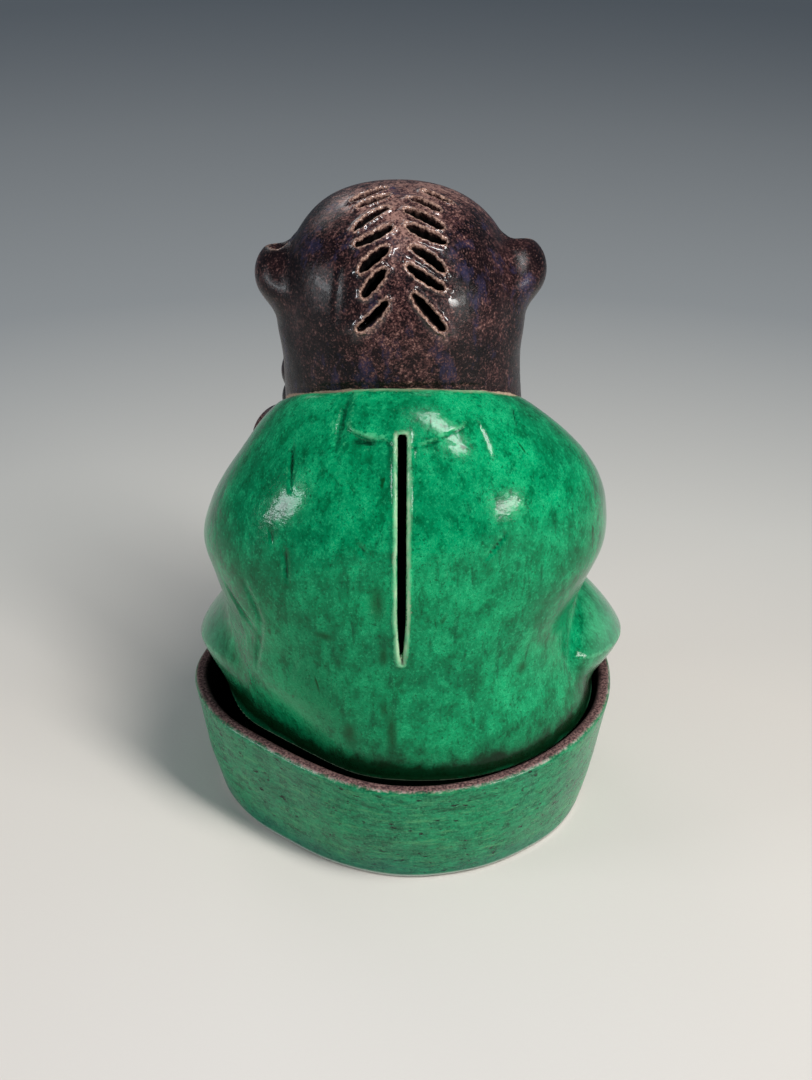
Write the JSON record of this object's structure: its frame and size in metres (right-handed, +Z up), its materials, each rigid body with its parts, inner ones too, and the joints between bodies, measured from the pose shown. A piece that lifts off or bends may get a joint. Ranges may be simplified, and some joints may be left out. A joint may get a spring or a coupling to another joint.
{
  "type": "foo dog censer statue",
  "caption": "Seated foo dog in glazed pottery, hollow and pierced as a smoke cover, lifting off the shallow dish it sits in.",
  "frame": {"origin": "middle of the dish's foot, on the surface it stands on", "axes": "+Z up, -Y the way the dog faces, +X the dog's left side"},
  "size_m": [0.1263, 0.1225, 0.188],
  "materials": {
    "robe_green": "gloss",
    "dish_green": "gloss",
    "aubergine": "gloss",
    "cream": "gloss",
    "iron_red": "gloss"
  },
  "bodies": {
    "dish": {"base_dish": "dish_green"},
    "figure": {"body_shell": "robe_green", "head_shell": "aubergine", "collar_tab": "robe_green", "ear_left": "aubergine", "ear_right": "aubergine", "muzzle": "aubergine", "nose": "aubergine", "lower_jaw": "aubergine", "tongue": "iron_red", "teeth": "cream", "eye_left": "cream", "eye_right": "cream", "brow_left": "aubergine", "brow_right": "aubergine", "mane_left": "aubergine", "mane_right": "aubergine", "beard": "aubergine", "foreleg_left": "robe_green", "foreleg_right": "robe_green", "forepaw_left": "robe_green", "forepaw_right": "robe_green", "haunch_left": "robe_green", "haunch_right": "robe_green", "hind_paw_left": "robe_green", "hind_paw_right": "robe_green"}
  },
  "joints": [
    {"name": "figure_lift", "type": "slide", "parent": "dish", "child": "figure", "axis": [0, 0, 1], "range_m": [0, 0.12]}
  ]
}
